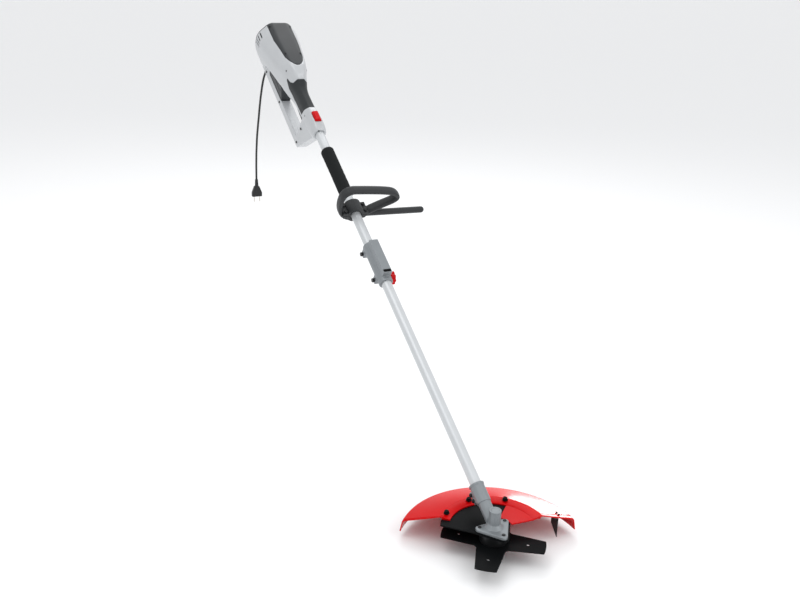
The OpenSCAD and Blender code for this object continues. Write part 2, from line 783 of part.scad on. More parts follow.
// Screws of the flange, and the two clamp screws of the sleeve
module head_screws() {
  color([0.2, 0.2, 0.21]) {
    on_head() flange_screw_places() {
      translate([0, 0, flange_low - plate_t]) cylinder(h = 10, r = 2);
      translate([0, 0, flange_low + flange_t + fit_gap]) cylinder(h = 3, r = 3.8);
    }
    on_shaft() for (x = [sleeve_top + 12, sleeve_top + 26]) {
      bar_y(x, -tube_r - 8, -10, 12, 2.5);
      bar_y(x, -tube_r - 8, -13, -8.5 - fit_gap, 4.5);
    }
  }
}

// Ball bearings of the spindle and of the pinion, drawn as closed rings
module head_bearings() {
  color("lightgray") {
    on_head() for (z = [nose_low + 0.5, nose_low + 7.5])
      translate([0, 0, z]) difference() {
        cylinder(h = 6, r = spindle_bearing_r);
        translate([0, 0, -1]) cylinder(h = 8, r = spindle_r + fit_gap);
      }
    on_shaft() sleeve_x(pinion_bearing_x - 7, pinion_bearing_x + 7, 12, 6 + fit_gap);
  }
}

// One straight tooth that narrows towards the crossing of the axes, gear's axis along +Z
module cone_tooth(cone, half_w) {
  r = cone_len * sin(cone);
  h = cone_len * cos(cone);
  foot = [r - tooth_down * cos(cone), h + tooth_down * sin(cone)];
  tip = [r + tooth_up * cos(cone), h - tooth_up * sin(cone)];
  ring = [[foot[0], half_w * 1.25, foot[1]], [tip[0], half_w * 0.6, tip[1]],
    [tip[0], -half_w * 0.6, tip[1]], [foot[0], -half_w * 1.25, foot[1]]];
  skin([ring * inner_scale, ring]);
}

// Body of a bevel gear under its teeth, with its hub ending at depth
module cone_body(cone, hub_r, depth) {
  foot_r = cone_len * sin(cone) - (tooth_down - 0.25) * cos(cone);
  foot_h = cone_len * cos(cone) + (tooth_down - 0.25) * sin(cone);
  rotate_extrude() polygon([[0, foot_h * inner_scale], [foot_r * inner_scale, foot_h * inner_scale],
    [foot_r, foot_h], [foot_r - 1.2, foot_h + 2.2], [hub_r, foot_h + 2.2], [hub_r, depth], [0, depth]]);
}

module gear_teeth_ring(cone, count, shift) {
  half_w = 0.19 * 2 * 180 / count / 180 * 3.1416 * cone_len * sin(cone);
  for (i = [0:count - 1]) rotate([0, 0, 360 / count * (i + shift)]) cone_tooth(cone, half_w);
}

module pinion() {
  color("silver") translate([head_x, 0, head_z]) rotate([0, shaft_angle - 90, 0]) difference() {
    union() {
      gear_teeth_ring(pinion_cone, pinion_teeth, 0.5);
      cone_body(pinion_cone, 8, 20);
      cylinder(h = 52, r = 6);
    }
    translate([0, 0, -1]) cylinder(h = 8.2, r = 20);
    translate([0, 0, 40]) cylinder(h = 20, r = drive_r + fit_gap);
  }
}

module bevel_gear() {
  color("silver") on_head() rotate([180, 0, 0]) difference() {
    union() {
      gear_teeth_ring(gear_cone, gear_teeth, 0);
      cone_body(gear_cone, 8, 10.2);
    }
    translate([0, 0, -1]) cylinder(h = 20, r = spindle_r + fit_gap);
  }
}

module spindle() {
  color("lightgray") on_head() {
    translate([0, 0, -blade_drop - 16]) cylinder(h = blade_drop + 14, r = spindle_r);
  }
}

module inner_flange() {
  color([0.3, 0.3, 0.32]) on_head() difference() {
    union() {
      translate([0, 0, blade_top]) cylinder(h = flange_low - plate_t - 1 - blade_top, r = cup_r);
      translate([0, 0, blade_low]) cylinder(h = blade_t + 1, r = blade_bore_r - fit_gap);
    }
    translate([0, 0, nose_low - 1]) cylinder(h = 20, r = nose_r + 1.5);
    translate([0, 0, -80]) cylinder(h = 80, r = spindle_r + fit_gap);
  }
}

module blade() {
  tip_w = 45;
  root_w = 62;
  root_r = 45;
  color([0.12, 0.13, 0.14]) on_head() translate([0, 0, blade_low]) linear_extrude(blade_t)
    rotate(blade_phase) difference() {
      intersection() {
        circle(r = blade_d / 2, $fn = 96);
        for (i = [0:3]) rotate(90 * i)
          polygon([[0, -root_r], [root_r, -root_w / 2], [blade_d / 2 + 5, -tip_w / 2],
            [blade_d / 2 + 5, tip_w / 2], [root_r, root_w / 2], [0, root_r]]);
      }
      circle(r = blade_bore_r);
      for (i = [0:3]) rotate(45 + 90 * i) translate([root_r * 1.32, 0]) circle(r = 11);
      for (i = [0:3]) rotate(90 * i) translate([blade_d * 0.33, 0]) circle(r = 3);
    }
}

module outer_flange() {
  color([0.3, 0.3, 0.32]) on_head() difference() {
    translate([0, 0, blade_low - 3.5]) cylinder(h = 3.5, r = cup_r - 5);
    translate([0, 0, -80]) cylinder(h = 80, r = spindle_r + fit_gap);
  }
}

module blade_nut() {
  color("silver") on_head() difference() {
    translate([0, 0, blade_low - 12]) cylinder(h = 8.5, r = 9.5, $fn = 6);
    translate([0, 0, -80]) cylinder(h = 80, r = spindle_r + fit_gap);
  }
}

// ---------- Guard ----------

module guard_base() {
  color([0.13, 0.13, 0.14]) on_head() translate([0, 0, flange_low - plate_t]) difference() {
    linear_extrude(plate_t) {
      intersection() {
        circle(r = plate_r, $fn = 96);
        polygon([[-7, -47], [20, -28], [38, 0], [20, 28], [5, 36], [-25, 45], [-61, 80], [-80, 100],
          [-160, 60], [-160, -100], [-62, -100]]);
      }
      flange_outline(3);
    }
    translate([0, 0, -1]) cylinder(h = 10, r = nose_r + fit_gap);
    flange_screw_places() translate([0, 0, -1]) cylinder(h = 10, r = 2 + fit_gap);
    knob_places() translate([0, 0, -1]) cylinder(h = 10, r = 2.5 + fit_gap);
  }
}

module knob_places() {
  for (a = knob_angles) rotate([0, 0, a]) translate([knob_ring_r, 0, 0]) children();
}

// Radial section of the guard, lowered or raised by nothing but its own wall
function guard_section() = [[guard_in, flange_low + fit_gap], [guard_in, flange_low + 3],
  [ridge_r, ridge_z], [shoulder_r, shoulder_z], [guard_r, skirt_z], [guard_r - guard_t, skirt_z],
  [shoulder_r - guard_t, shoulder_z - guard_t * 0.7], [ridge_r + 1, ridge_z - guard_t],
  [plate_r, ridge_z - guard_t - 0.5], [plate_r, flange_low + fit_gap]];

module guard() {
  color("firebrick") on_head() difference() {
    union() {
      rotate([0, 0, guard_start]) rotate_extrude(angle = guard_span, $fn = 120) polygon(guard_section());
      translate([0, 0, flange_low + fit_gap]) linear_extrude(guard_t) intersection() {
        difference() {
          circle(r = guard_in + 1, $fn = 96);
          circle(r = 43);
        }
        polygon([[0, 0], [12, 140], [-140, 140], [-140, 125]]);
      }
    }
    knob_places() translate([0, 0, -30]) cylinder(h = 40, r = 2.5 + fit_gap);
  }
}

module guard_knobs() {
  color([0.12, 0.12, 0.13]) on_head() knob_places() {
    translate([0, 0, flange_low - plate_t]) cylinder(h = 12, r = 2.5);
    translate([0, 0, ridge_z + fit_gap]) cylinder(h = 3, r = 6.5);
    translate([0, 0, ridge_z + 3]) cylinder(h = 4, r = 5);
  }
}

// Knife that trims the line, hung under the guard's right shoulder
module line_cutter() {
  color("silver") on_head() difference() {
    union() {
      side_plate([[-16, -10], [8, -10], [8, skirt_z - 12], [-16, skirt_z + 14]], cutter_y, cutter_y + 1.6);
      block([-16, cutter_y - 10, -40], [8, cutter_y + 1.6, -10]);
    }
    rotate_extrude($fn = 120) polygon([[ridge_r + 1, ridge_z - guard_t - fit_gap],
      [shoulder_r - guard_t, shoulder_z - guard_t * 0.7 - fit_gap], [shoulder_r, 20], [ridge_r, 20]]);
    block([-17, cutter_y - 11, -50], [9, cutter_y - 0.01, -24]);
  }
}

module cutter_screws() {
  slope = atan2(ridge_z - shoulder_z, shoulder_r - ridge_r);
  color("gainsboro") on_head() for (x = [-7, 2])
    translate([x, cutter_y + 6, ridge_z - (cutter_y + 6 - ridge_r) * tan(slope) + 0.6])
      rotate([-slope, 0, 0]) cylinder(h = 2, r = 3);
}

// ---------- Cord ----------

module cord_gland() {
  color([0.16, 0.16, 0.17]) gland_form(0);
}

// Round section of the cord at one point of its route
function cord_ring(i) =
  let (last = len(cord_route) - 1, a = cord_route[max(i - 1, 0)], b = cord_route[min(i + 1, last)],
    t = (b - a) / norm(b - a), out = [-t[1], t[0]], p = cord_route[i])
  [for (j = [0:7])
    let (c = cord_d / 2 * cos(45 * j), s = cord_d / 2 * sin(45 * j))
    [p[0] + out[0] * c, s, p[1] + out[1] * c]];

module power_cord() {
  color([0.2, 0.21, 0.21]) skin([for (i = [0:len(cord_route) - 1]) cord_ring(i)]);
}

module plug_body() {
  color([0.16, 0.16, 0.17]) translate([cord_end[0], 0, cord_end[1]]) difference() {
    union() {
      translate([0, 0, -26]) cylinder(h = 26, r1 = 6.5, r2 = 5);
      translate([0, 0, -plug_h]) rotate([90, 0, 90]) linear_extrude(14, center = true)
        polygon([[-17, 0], [17, 0], [17, 14], [8, 36], [-8, 36], [-17, 14]]);
    }
    for (side = [-1, 1])
      translate([0, side * pin_spacing / 2, -plug_h - 1]) cylinder(h = 13, r = pin_neck_r + 0.02);
  }
}

module plug_pins() {
  color("gainsboro") translate([cord_end[0], 0, cord_end[1] - plug_h])
    for (side = [-1, 1]) translate([0, side * pin_spacing / 2, 0]) {
      translate([0, 0, -1]) cylinder(h = 11, r = pin_neck_r);
      translate([0, 0, 1 - plug_pin_len]) cylinder(h = plug_pin_len - 2, r = plug_pin_r);
      translate([0, 0, -plug_pin_len]) cylinder(h = 1, r1 = plug_pin_r - 1, r2 = plug_pin_r);
    }
}

housing_left();
housing_right();
top_cover();
grip_overmold();
vent_grille();
cord_retainer();
housing_screws();
cover_screws();
trigger();
trigger_pin();
trigger_spring();
switch();
switch_plunger();
lock_button();
lock_spring();
field_pack();
field_coils();
armature();
rotor_shaft();
commutator();
brush_holders();
carbon_brushes();
motor_fan();
motor_bearings();
drive_coupling();
upper_drive_shaft();
upper_bushes();
upper_tube();
foam_sleeve();
handle_liner();
loop_handle();
barrier_bar();
handle_clamp();
handle_bolts();
coupler_body();
coupler_bolts();
coupler_knob();
release_button();
lower_tube();
lower_drive_shaft();
lower_bushes();
gear_housing();
head_screws();
head_bearings();
pinion();
bevel_gear();
spindle();
inner_flange();
blade();
outer_flange();
blade_nut();
guard_base();
guard();
guard_knobs();
line_cutter();
cutter_screws();
cord_gland();
power_cord();
plug_body();
plug_pins();
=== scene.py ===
# %% [markdown]
# # A corded brush cutter, dressed in Blender
# The tool is a long tube with a motor and a trigger handle at the upper end and
# a gear head with a blade and a red guard at the lower end. The engineering
# model comes in as a fixed frame, one object for each part. This lesson gives
# every part its finish, and remakes the shells that are smoother in life.

# %% Load the frame
import math

import bmesh
import bpy
from mathutils import Matrix, Vector, noise


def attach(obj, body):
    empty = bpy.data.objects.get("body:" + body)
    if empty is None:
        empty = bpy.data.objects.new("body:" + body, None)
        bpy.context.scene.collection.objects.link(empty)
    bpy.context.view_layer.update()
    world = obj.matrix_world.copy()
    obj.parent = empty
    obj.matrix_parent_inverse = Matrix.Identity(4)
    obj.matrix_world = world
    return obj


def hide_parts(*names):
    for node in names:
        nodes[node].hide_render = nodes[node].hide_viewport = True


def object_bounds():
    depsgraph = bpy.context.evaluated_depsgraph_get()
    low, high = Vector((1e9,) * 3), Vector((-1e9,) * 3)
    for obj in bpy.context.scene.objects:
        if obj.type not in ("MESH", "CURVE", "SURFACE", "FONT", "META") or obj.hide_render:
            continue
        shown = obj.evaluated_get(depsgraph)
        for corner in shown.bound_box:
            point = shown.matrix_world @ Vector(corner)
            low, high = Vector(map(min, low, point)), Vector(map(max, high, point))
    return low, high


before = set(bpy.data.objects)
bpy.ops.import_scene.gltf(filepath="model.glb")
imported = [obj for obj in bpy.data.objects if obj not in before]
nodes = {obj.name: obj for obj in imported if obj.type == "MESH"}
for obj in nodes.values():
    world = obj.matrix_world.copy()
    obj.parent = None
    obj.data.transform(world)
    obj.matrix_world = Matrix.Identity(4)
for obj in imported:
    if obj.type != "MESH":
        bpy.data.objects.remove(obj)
cad_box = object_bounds()
print("parts in the frame:", len(nodes))

# %% [markdown]
# ## Two helpful frames
# Most parts sit along the shaft, which slopes down by 34 degrees, so their
# shapes are written in the shaft's own axes, in millimetres: x along it, z
# square to it. The gear head's parts are written around the blade's axis.
# One matrix for each takes a finished shape to its place in metres.

# %% Places
SHAFT_ANGLE = math.radians(34)
REACH = 1365
MM = Matrix.Scale(0.001, 4)
ON_SHAFT = Matrix.Rotation(SHAFT_ANGLE, 4, "Y") @ MM
HEAD = Vector((math.cos(SHAFT_ANGLE), 0, -math.sin(SHAFT_ANGLE))) * REACH * 0.001
ON_HEAD = Matrix.Translation(HEAD) @ MM
print("gear head at", [round(c, 4) for c in HEAD])

# %% [markdown]
# ## The camera
# The camera stands in front of the gear head and looks up along the tool, a
# little from above. Its place is set with three angles: azimuth round the
# object, elevation above the horizon, and a small roll.

# %% Camera
camera_data = bpy.data.cameras.new("camera")
camera_data.lens = 40.93
camera_data.sensor_width = 36
camera = bpy.data.objects.new("camera", camera_data)
bpy.context.scene.collection.objects.link(camera)
azimuth, elevation, roll = (math.radians(a) for a in (62.80, 19.94, 1.70))
back = Vector((math.sin(azimuth) * math.cos(elevation),
               -math.cos(azimuth) * math.cos(elevation), math.sin(elevation)))
level = Vector((math.cos(azimuth), math.sin(azimuth), 0))
right = math.cos(roll) * level + math.sin(roll) * back.cross(level)
stand = Matrix((right, back.cross(right), back)).transposed().to_4x4()
stand.translation = HEAD + Vector((1.4009, -0.9657, 1.1241))
camera.matrix_world = stand
bpy.context.scene.camera = camera
print("camera at", [round(c, 3) for c in camera.location])

# %% [markdown]
# ## The short mains cord
# Such a tool has a short tail that ends in a plug, and the long extension lead
# is plugged on to it. A flexible lead leaves its strain relief straight, then
# gravity pulls it down. A Bezier curve with a round bevel is the plainest way
# to make it: its points are the route, and its depth is the lead's radius.

# %% Cord
CORD_D = 6.8
ROUTE = [(-338, 40), (-350, 29.5), (-361, 17), (-371, 2), (-380, -14), (-388, -31),
         (-396, -48), (-403, -66), (-410, -84), (-416, -102), (-422, -120), (-429, -138),
         (-435, -156), (-441, -174), (-446, -192), (-450, -211), (-454, -230),
         (-457, -249), (-459, -268), (-461, -287), (-462, -306), (-463, -325), (-463, -336)]
lead = bpy.data.curves.new("mains_lead", "CURVE")
lead.dimensions = "3D"
lead.bevel_depth = 1
lead.bevel_resolution = 6
lead.resolution_u = 4
lead.use_fill_caps = True
line = lead.splines.new("BEZIER")
line.bezier_points.add(len(ROUTE) - 1)
for point, (x, z) in zip(line.bezier_points, ROUTE):
    point.co = (x / 1000, 0, z / 1000)
    point.radius = CORD_D / 2000
    point.handle_left_type = point.handle_right_type = "AUTO"
mains_lead = bpy.data.objects.new("mains_lead", lead)
bpy.context.scene.collection.objects.link(mains_lead)
bpy.context.view_layer.update()
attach(mains_lead, "power_unit")
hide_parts("power_cord")

# %% [markdown]
# ## Shared surface effects
# Moulded plastic, cast metal and foam all show fine grain and slow changes of
# gloss. Two node groups hold those effects once, with named inputs, so that
# each material places them with values of its own. Object coordinates keep the
# pattern still on the piece, and a Mapping node can stretch it along the tube.


# %% Node groups
def new_group(title, inputs, outputs):
    """A shader node group with its named sockets, and its two end nodes."""
    group = bpy.data.node_groups.new(title, "ShaderNodeTree")
    for name, kind, value in inputs:
        socket = group.interface.new_socket(name, in_out="INPUT", socket_type=kind)
        if value is not None:
            socket.default_value = value
    for name, kind in outputs:
        group.interface.new_socket(name, in_out="OUTPUT", socket_type=kind)
    return group, group.nodes.new("NodeGroupInput"), group.nodes.new("NodeGroupOutput")


def calc(tree, how, first, second):
    """A maths node whose inputs are sockets or numbers."""
    node = tree.nodes.new("ShaderNodeMath")
    node.operation = how
    for slot, value in zip(node.inputs, (first, second)):
        if isinstance(value, bpy.types.NodeSocket):
            tree.links.new(value, slot)
        else:
            slot.default_value = value
    return node.outputs[0]


def grain_group():
    """Fine grain: small pits and a slower ripple, as a height."""
    group, given, result = new_group(
        "fine_grain", [("Vector", "NodeSocketVector", None),
                       ("Grain Scale", "NodeSocketFloat", 900.0),
                       ("Ripple", "NodeSocketFloat", 0.2)], [("Height", "NodeSocketFloat")])
    pits = group.nodes.new("ShaderNodeTexNoise")
    pits.inputs["Detail"].default_value = 3
    slow = group.nodes.new("ShaderNodeTexNoise")
    slow.inputs["Scale"].default_value = 60
    for node in (pits, slow):
        group.links.new(given.outputs["Vector"], node.inputs["Vector"])
    group.links.new(given.outputs["Grain Scale"], pits.inputs["Scale"])
    soft = calc(group, "MULTIPLY", slow.outputs["Fac"], given.outputs["Ripple"])
    group.links.new(calc(group, "ADD", pits.outputs["Fac"], soft), result.inputs["Height"])
    return group


def ageing_group():
    """Colour and gloss that vary a little, lighter and duller along worn edges."""
    group, given, result = new_group(
        "ageing", [("Color", "NodeSocketColor", None), ("Worn Color", "NodeSocketColor", None),
                   ("Wear", "NodeSocketFloat", 0.5), ("Roughness", "NodeSocketFloat", 0.4),
                   ("Gloss Change", "NodeSocketFloat", 0.1)],
        [("Color", "NodeSocketColor"), ("Roughness", "NodeSocketFloat")])
    place = group.nodes.new("ShaderNodeTexCoord")
    cloud = group.nodes.new("ShaderNodeTexNoise")
    cloud.inputs["Scale"].default_value = 22
    cloud.inputs["Detail"].default_value = 6
    group.links.new(place.outputs["Object"], cloud.inputs["Vector"])
    shape = group.nodes.new("ShaderNodeNewGeometry")
    edge = group.nodes.new("ShaderNodeMapRange")
    edge.inputs["From Min"].default_value = 0.53
    edge.inputs["From Max"].default_value = 0.62
    group.links.new(shape.outputs["Pointiness"], edge.inputs["Value"])
    broken = calc(group, "MULTIPLY", edge.outputs["Result"], cloud.outputs["Fac"])
    mask = calc(group, "MULTIPLY", broken, given.outputs["Wear"])
    mix = group.nodes.new("ShaderNodeMix")
    mix.data_type = "RGBA"
    group.links.new(mask, mix.inputs["Factor"])
    group.links.new(given.outputs["Color"], mix.inputs["A"])
    group.links.new(given.outputs["Worn Color"], mix.inputs["B"])
    tone = group.nodes.new("ShaderNodeHueSaturation")
    group.links.new(mix.outputs["Result"], tone.inputs["Color"])
    group.links.new(calc(group, "ADD", calc(group, "MULTIPLY", cloud.outputs["Fac"], 0.16), 0.92),
                    tone.inputs["Value"])
    swing = calc(group, "MULTIPLY", calc(group, "SUBTRACT", cloud.outputs["Fac"], 0.5),
                 given.outputs["Gloss Change"])
    group.links.new(tone.outputs["Color"], result.inputs["Color"])
    gloss = calc(group, "ADD", given.outputs["Roughness"], swing)
    group.links.new(gloss, result.inputs["Roughness"])
    return group


GRAIN, AGEING = grain_group(), ageing_group()


# %% [markdown]
# ## The finishes
# One function builds every finish from the same few choices: colour, gloss,
# metal or not, grain size and depth, and how the edges wear. A stretched grain
# gives brushed metal, and a deeper, coarser one gives cast metal. Constants sit
# on the shader's own sockets.

# %% Finish maker
FINISHES = {}


def finish(name, colour, rough, metal=0.0, grain=900, depth=0.06, wear=0.0, change=0.12,
           stretch=None, ripple=0.2, coat=0.0, sheen=0.0, level=0.5):
    """A procedural finish. depth is the bump in mm, and stretch scales the grain by axis."""
    made = bpy.data.materials.new(name)
    made.use_nodes = True
    tree = made.node_tree
    shader = tree.nodes["Principled BSDF"]
    shader.inputs["Metallic"].default_value = metal
    shader.inputs["Coat Weight"].default_value = coat
    shader.inputs["Coat Roughness"].default_value = 0.12
    shader.inputs["Sheen Weight"].default_value = sheen
    shader.inputs["Specular IOR Level"].default_value = level
    old = tree.nodes.new("ShaderNodeGroup")
    old.node_tree = AGEING
    old.inputs["Color"].default_value = (*colour, 1)
    old.inputs["Worn Color"].default_value = (*[min(1, c * 1.5 + 0.02) for c in colour], 1)
    old.inputs["Wear"].default_value = wear
    old.inputs["Roughness"].default_value = rough
    old.inputs["Gloss Change"].default_value = change
    tree.links.new(old.outputs["Color"], shader.inputs["Base Color"])
    tree.links.new(old.outputs["Roughness"], shader.inputs["Roughness"])
    place = tree.nodes.new("ShaderNodeTexCoord")
    turn = tree.nodes.new("ShaderNodeMapping")
    turn.vector_type = "TEXTURE"
    if stretch:
        turn.inputs["Rotation"].default_value = (0, SHAFT_ANGLE, 0)
        turn.inputs["Scale"].default_value = stretch
    tree.links.new(place.outputs["Object"], turn.inputs["Vector"])
    fine = tree.nodes.new("ShaderNodeGroup")
    fine.node_tree = GRAIN
    fine.inputs["Grain Scale"].default_value = grain
    fine.inputs["Ripple"].default_value = ripple
    tree.links.new(turn.outputs["Vector"], fine.inputs["Vector"])
    bump = tree.nodes.new("ShaderNodeBump")
    bump.inputs["Distance"].default_value = depth / 1000
    tree.links.new(fine.outputs["Height"], bump.inputs["Height"])
    tree.links.new(bump.outputs["Normal"], shader.inputs["Normal"])
    FINISHES[name] = made
    return made


# %% Finishes of this tool
silver_plastic = finish("silver_plastic", (0.50, 0.515, 0.53), 0.40, metal=0.2, grain=1400,
                        depth=0.04, wear=0.0, coat=0.12)
cover_plastic = finish("cover_plastic", (0.026, 0.029, 0.032), 0.50, grain=1500, depth=0.07,
                       wear=0.25, level=0.35)
grip_rubber = finish("grip_rubber", (0.022, 0.025, 0.027), 0.66, grain=1100, depth=0.12, wear=0.15,
                     sheen=0.05, level=0.3)
black_plastic = finish("black_plastic", (0.0045, 0.005, 0.0055), 0.42, grain=1300, depth=0.06,
                       level=0.05)
handle_plastic = finish("handle_plastic", (0.022, 0.024, 0.026), 0.50, grain=1000, depth=0.09,
                        wear=0.2, level=0.35)
red_plastic = finish("red_plastic", (0.54, 0.003, 0.005), 0.26, grain=500, depth=0.015, change=0.06,
                     level=0.1)
guard_red = finish("guard_red", (0.56, 0.0025, 0.004), 0.22, grain=300, depth=0.008, change=0.04,
                   level=0.07)
foam = finish("foam", (0.014, 0.0155, 0.016), 0.95, grain=420, depth=1.0, ripple=0.6, level=0.15)
cast_metal = finish("cast_metal", (0.25, 0.27, 0.285), 0.46, metal=0.5, grain=800, depth=0.12,
                    wear=0.4, ripple=0.5)
tube_metal = finish("tube_metal", (0.60, 0.62, 0.635), 0.40, metal=0.45, grain=2600, depth=0.012,
                    stretch=(40, 1, 1), change=0.10)
steel = finish("steel", (0.45, 0.46, 0.47), 0.34, metal=1.0, grain=1500, depth=0.03)
black_steel = finish("black_steel", (0.012, 0.0125, 0.0135), 0.34, metal=0.4, grain=1400,
                     depth=0.04)
blade_coat = finish("blade_coat", (0.0045, 0.005, 0.0055), 0.36, grain=1100, depth=0.035,
                    level=0.04)
nickel = finish("nickel", (0.72, 0.70, 0.66), 0.20, metal=1.0, grain=1600, depth=0.015)
copper = finish("copper", (0.60, 0.22, 0.09), 0.34, metal=1.0, grain=1800, depth=0.05,
                stretch=(1, 20, 20))
brass = finish("brass", (0.62, 0.44, 0.16), 0.30, metal=1.0, grain=1200, depth=0.03)
laminated = finish("laminated_steel", (0.22, 0.22, 0.23), 0.45, metal=0.9, grain=1400, depth=0.15,
                   stretch=(1, 40, 40))
carbon = finish("carbon", (0.02, 0.02, 0.02), 0.6, grain=1500, depth=0.06)
ivory_plastic = finish("ivory_plastic", (0.62, 0.58, 0.46), 0.42, grain=1200, depth=0.04)
lead_rubber = finish("lead_rubber", (0.016, 0.017, 0.0175), 0.50, grain=1300, depth=0.05,
                     level=0.35)
print("finishes:", len(FINISHES))

# %% [markdown]
# ## Carried-over parts
# A part of the frame arrives as loose flat triangles. Modifiers finish it and
# leave its mesh alone: Weld joins the corners, Decimate in its planar mode
# gives whole faces back, Bevel breaks the sharp edges by a fraction of a
# millimetre as a real tool would, and Weighted Normal keeps flat faces flat.


# %% Dress a part
EDGE_ANGLE = math.radians(35)


def dress(name, material, edge):
    """Gives a carried-over part its material, soft edges of so many mm and smooth curves."""
    part = nodes[name]
    part.data.materials.clear()
    part.data.materials.append(material)
    part.data.polygons.foreach_set("use_smooth", [True] * len(part.data.polygons))
    part.modifiers.new("join", "WELD").merge_threshold = 0.00001
    flat = part.modifiers.new("faces", "DECIMATE")
    flat.decimate_type = "DISSOLVE"
    flat.angle_limit = math.radians(0.6)
    if edge:
        soft = part.modifiers.new("edges", "BEVEL")
        soft.width = edge / 1000
        soft.segments = 2
        soft.limit_method = "ANGLE"
        soft.angle_limit = EDGE_ANGLE
    part.modifiers.new("normals", "WEIGHTED_NORMAL").keep_sharp = True


# %% Finish of each carried-over part
# each part with the width of its edges in millimetres
CARRIED = [
    (black_plastic, {"cord_retainer": 0.5, "switch": 0.5, "motor_fan": 0.3, "release_button": 0.8,
                     "guard_base": 0.5, "guard_knobs": 0.6}),
    (black_steel, {"housing_screws": 0.4, "cover_screws": 0.3, "handle_bolts": 0.5,
                   "coupler_bolts": 0.5, "head_screws": 0.4, "inner_flange": 0.6,
                   "outer_flange": 0.6, "line_cutter": 0.2, "cutter_screws": 0.4}),
    (steel, {"trigger_pin": 0.3, "trigger_spring": 0, "lock_spring": 0, "rotor_shaft": 0.3,
             "motor_bearings": 0.4, "drive_coupling": 0.4, "upper_drive_shaft": 0.3,
             "lower_drive_shaft": 0.3, "head_bearings": 0.4, "pinion": 0.15, "bevel_gear": 0.15,
             "spindle": 0.3, "blade_nut": 0.5}),
    (ivory_plastic, {"switch_plunger": 0.3, "upper_bushes": 0.3, "lower_bushes": 0.3}),
    (laminated, {"field_pack": 0.3, "armature": 0.3}),
    (copper, {"field_coils": 1.2, "commutator": 0.2}),
    (brass, {"brush_holders": 0.3}),
    (carbon, {"carbon_brushes": 0.2}),
    (tube_metal, {"upper_tube": 0.3, "lower_tube": 0.3}),
    (grip_rubber, {"handle_liner": 0.5}),
    (handle_plastic, {"barrier_bar": 0.5, "handle_clamp": 0.8}),
    (lead_rubber, {"cord_gland": 0.6}),
    (nickel, {"plug_pins": 0.2}),
    (blade_coat, {"blade": 0.25})]
for material, parts in CARRIED:
    for name, edge in parts.items():
        dress(name, material, edge)
lead.materials.append(lead_rubber)
print("dressed parts and a lead")

# %% [markdown]
# ## Making solids to carve
# The larger shells are smooth lofts that other shapes are cut from. The helpers
# below make a loft, a prism, a block and a bar from bmesh operators, and carve
# one solid with another through a Boolean modifier whose result is kept.


# %% Solid helpers
def keep(bm):
    """An object in the scene, made from a bmesh, that other solids can carve."""
    bmesh.ops.recalc_face_normals(bm, faces=bm.faces)
    mesh = bpy.data.meshes.new("solid")
    bm.to_mesh(mesh)
    bm.free()
    made = bpy.data.objects.new("solid", mesh)
    bpy.context.scene.collection.objects.link(made)
    return made


def loft(rings, closed=False):
    """A grid bent so that each of its rows lies on one ring, then sewn up."""
    bm = bmesh.new()
    n = len(rings[0])
    rows = rings + [rings[0]] if closed else rings
    bmesh.ops.create_grid(bm, x_segments=n, y_segments=len(rows) - 1, size=1)
    bm.verts.ensure_lookup_table()
    for k, v in enumerate(bm.verts):
        v.co = rows[k // (n + 1)][k % (n + 1) % n]
    bmesh.ops.remove_doubles(bm, verts=bm.verts, dist=1e-3)
    if not closed:
        bmesh.ops.holes_fill(bm, edges=[e for e in bm.edges if e.is_boundary], sides=0)
    return keep(bm)


def prism(points, low, high):
    """A flat outline of 3-D points, drawn out from low to high, two vectors."""
    bm = bmesh.new()
    face = bm.faces.new([bm.verts.new(Vector(p) + Vector(low)) for p in points])
    grown = bmesh.ops.extrude_face_region(bm, geom=[face])["geom"]
    bmesh.ops.translate(bm, verts=[v for v in grown if isinstance(v, bmesh.types.BMVert)],
                        vec=Vector(high) - Vector(low))
    return keep(bm)


def side_prism(outline, y0, y1):
    """A prism with its outline in the shaft's side view."""
    return prism([(x, 0, z) for x, z in outline], (0, y0, 0), (0, y1, 0))


def block(low, high):
    """A box between two opposite corners."""
    bm = bmesh.new()
    middle = (Vector(low) + Vector(high)) / 2
    size = Vector(high) - Vector(low)
    bmesh.ops.create_cube(bm, size=1,
                          matrix=Matrix.Translation(middle) @ Matrix.Diagonal((*size, 1)))
    return keep(bm)


def bar(start, end, r, r2=None, sides=48):
    """A round bar or cone from start to end."""
    a, b = Vector(start), Vector(end)
    turn = (b - a).to_track_quat("Z", "Y").to_matrix().to_4x4()
    bm = bmesh.new()
    bmesh.ops.create_cone(bm, cap_ends=True, segments=sides, radius1=r,
                          radius2=r if r2 is None else r2, depth=(b - a).length,
                          matrix=Matrix.Translation((a + b) / 2) @ turn)
    return keep(bm)


def applied(obj):
    """Applies the object's modifiers to its mesh."""
    bpy.context.view_layer.update()
    ready = obj.evaluated_get(bpy.context.evaluated_depsgraph_get())
    mesh = bpy.data.meshes.new_from_object(ready)
    obj.modifiers.clear()
    obj.data = mesh
    return obj


def carve(base, *tools, how="DIFFERENCE"):
    """Cuts from base, or joins to it, or keeps only what it shares with each tool."""
    for tool in tools:
        cut = base.modifiers.new("cut", "BOOLEAN")
        cut.operation = how
        cut.solver = "EXACT"
        cut.object = tool
        applied(base)
        bpy.data.objects.remove(tool)
    return base


def melt(obj, voxel, rounds=4):
    """Remakes the surface on a fine even mesh and relaxes it, so that edges turn soft."""
    again = obj.modifiers.new("even", "REMESH")
    again.mode = "VOXEL"
    again.voxel_size = voxel
    again.use_smooth_shade = True
    relax = obj.modifiers.new("relax", "SMOOTH")
    relax.factor = 0.5
    relax.iterations = rounds
    return applied(obj)


